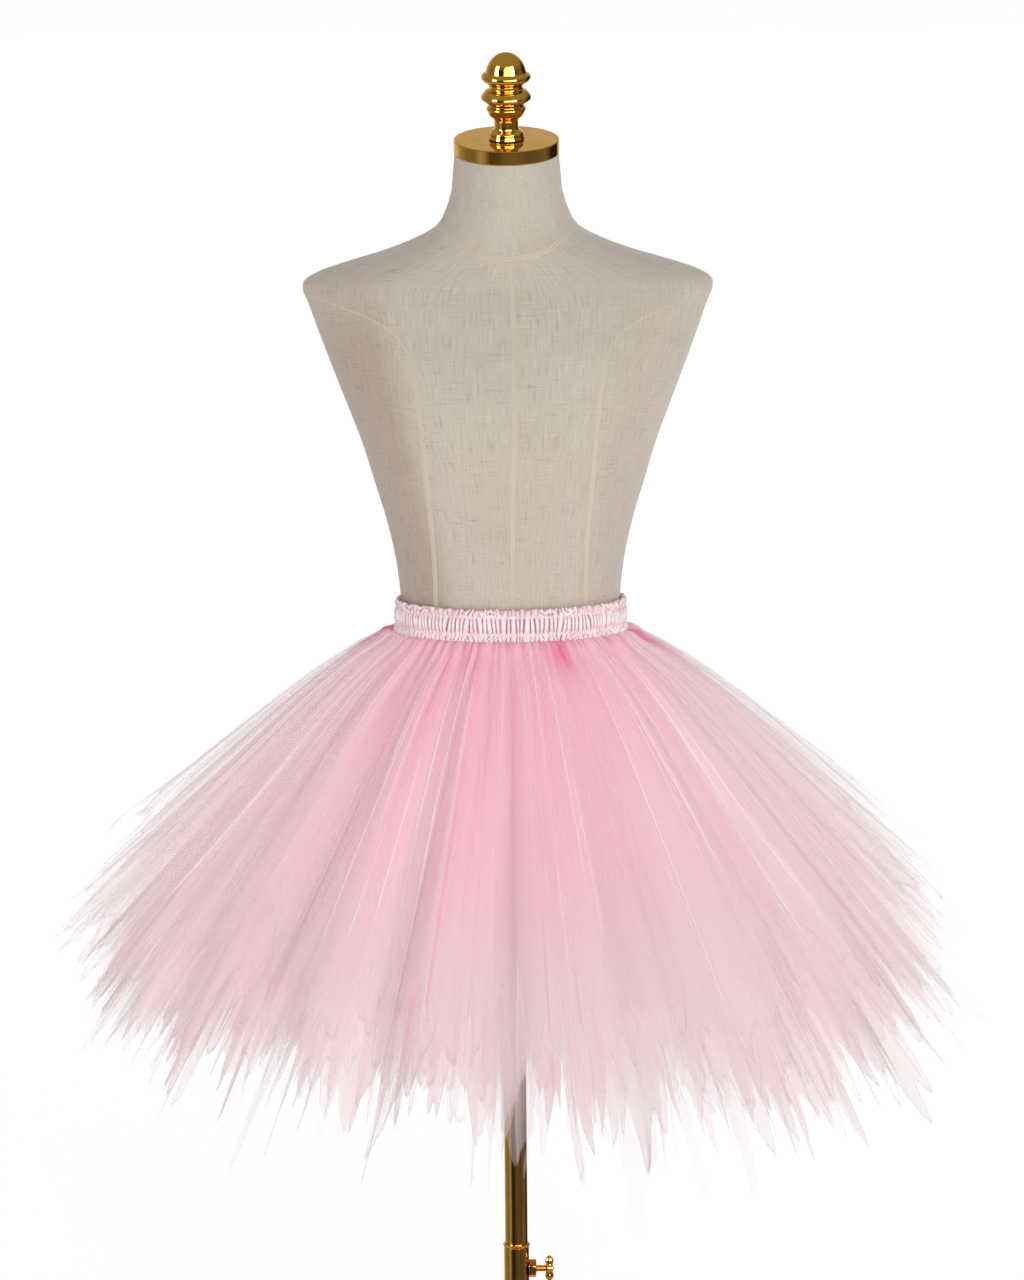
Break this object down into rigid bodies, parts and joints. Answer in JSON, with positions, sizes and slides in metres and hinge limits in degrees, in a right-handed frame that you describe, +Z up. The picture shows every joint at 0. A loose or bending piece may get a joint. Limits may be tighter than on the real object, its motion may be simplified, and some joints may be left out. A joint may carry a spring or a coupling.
{
  "type": "ballet tutu on a limbless dress form with a pole stand",
  "caption": "Gathered tulle tutu with a satin elastic waistband and pointed hem, worn on a limbless linen dress form on a height-adjustable pole stand.",
  "frame": {"origin": "centre of the round base's underside, on the floor under the pole", "axes": "+Z up along the pole, front of the dress form and tutu towards -Y, clamp screw on the +X side"},
  "size_m": [0.9518, 0.7928, 1.5751],
  "materials": {
    "satin": "satin",
    "lining_cloth": "satin",
    "tulle": "matte",
    "tulle_veil": "matte",
    "linen": "matte",
    "brass": "polished"
  },
  "bodies": {
    "stand": {"base": "brass", "outer_tube": "brass", "tube_lip": "brass", "clamp_boss": "brass"},
    "form": {"pole": "brass", "hip_plate": "brass", "dress_form": "linen", "neck_cap": "brass", "finial": "brass", "waistband": "satin", "lining_front": "lining_cloth", "lining_back": "lining_cloth", "tulle_inner": "tulle", "tulle_lower": "tulle", "tulle_upper": "tulle", "tulle_veil": "tulle_veil"},
    "clamp": {"clamp_screw": "brass"}
  },
  "joints": [
    {"name": "height_slide", "type": "slide", "parent": "stand", "child": "form", "axis": [0, 0, 1], "range_m": [-0.16, 0.1]},
    {"name": "clamp_screw_turn", "type": "hinge", "parent": "stand", "child": "clamp", "pos_m": [0, 0, 0.3425], "axis": [1, 0, 0], "range_deg": [0, 270]}
  ]
}
